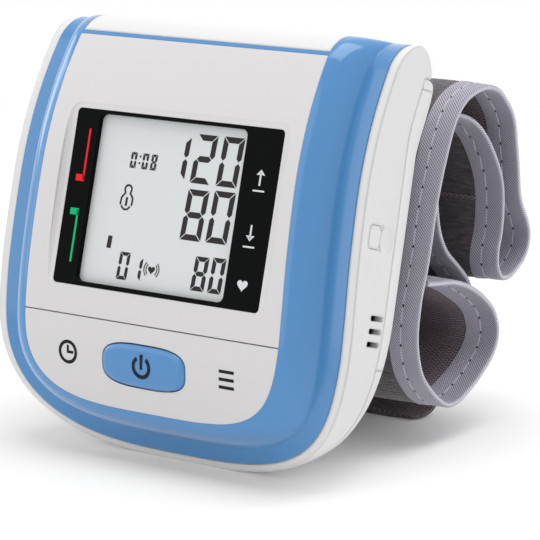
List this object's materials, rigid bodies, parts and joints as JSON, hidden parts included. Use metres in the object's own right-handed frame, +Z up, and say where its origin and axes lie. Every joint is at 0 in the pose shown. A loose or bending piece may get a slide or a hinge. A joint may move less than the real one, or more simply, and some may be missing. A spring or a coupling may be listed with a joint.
{
  "type": "wrist blood pressure monitor",
  "caption": "Wrist blood pressure monitor: a leaning case with a display, keys and a side battery door, on a rolled fabric cuff.",
  "frame": {"origin": "middle of the footprint, on the ground", "axes": "+X to the right of someone reading the display, +Y towards the back, +Z up"},
  "size_m": [0.0778, 0.077, 0.0773],
  "materials": {
    "white_shell": "satin white",
    "blue_trim": "high gloss blue",
    "window": "clear window with a dark printed border",
    "liquid_crystal": "grey reflective display",
    "dark_plastic": "fine texture",
    "grey_plastic": "fine texture",
    "circuit_board": "solder mask",
    "steel": "plated",
    "cell_jacket": "printed sleeve",
    "rubber": "moulded",
    "clear_tube": "silicone",
    "brushed_cloth": "brushed loop pile",
    "woven_cloth": "coarse weave",
    "binding_tape": "woven tape"
  },
  "bodies": {
    "case": {"blue_bezel": "blue_trim", "screen_panel": "white_shell", "display_window": "window", "lcd_glass": "liquid_crystal", "chassis": "dark_plastic", "lcd_holder": "grey_plastic", "lcd_connector": "rubber", "main_board": "circuit_board", "clock_key_switch": "dark_plastic", "power_switch": "dark_plastic", "memory_key_switch": "dark_plastic", "processor_chip": "dark_plastic", "pressure_sensor": "grey_plastic", "mid_housing": "white_shell", "back_cover": "white_shell", "case_screw_1": "steel", "case_screw_2": "steel", "case_screw_3": "steel", "battery_tray": "dark_plastic", "battery_outer": "cell_jacket", "battery_inner": "cell_jacket", "contact_link": "steel", "contact_outer": "steel", "contact_inner": "steel", "pump_motor": "steel", "pump_head": "grey_plastic", "release_valve": "steel", "air_manifold": "grey_plastic", "valve_hose": "clear_tube", "cuff_hose": "clear_tube", "pump_hose": "clear_tube", "sensor_hose": "clear_tube", "air_nipple": "grey_plastic", "buzzer": "dark_plastic", "cuff_plate": "dark_plastic", "cuff_outer_cloth": "brushed_cloth", "strap_outer_cloth": "brushed_cloth", "cuff_skin_cloth": "woven_cloth", "strap_skin_cloth": "woven_cloth", "air_bladder": "rubber", "edge_binding_right": "binding_tape", "edge_binding_left": "binding_tape"},
    "key_panel": {"key_panel": "white_shell"},
    "power_button": {"power_button": "blue_trim"},
    "battery_door": {"battery_door": "white_shell"}
  },
  "joints": [
    {"name": "key_rock", "type": "hinge", "parent": "case", "child": "key_panel", "pos_m": [0, -0.03389, 0.02336], "axis": [0, 0.2597, 0.9657], "range_deg": [-0.6, 0.6], "stiffness_Nm_per_rad": 0.6},
    {"name": "power_press", "type": "slide", "parent": "case", "child": "power_button", "axis": [0, 0.9657, -0.2597], "range_m": [0, 0.0005], "stiffness_N_per_m": 1000},
    {"name": "battery_door_slide", "type": "slide", "parent": "case", "child": "battery_door", "axis": [1, 0, 0], "range_m": [0, 0.024]}
  ]
}
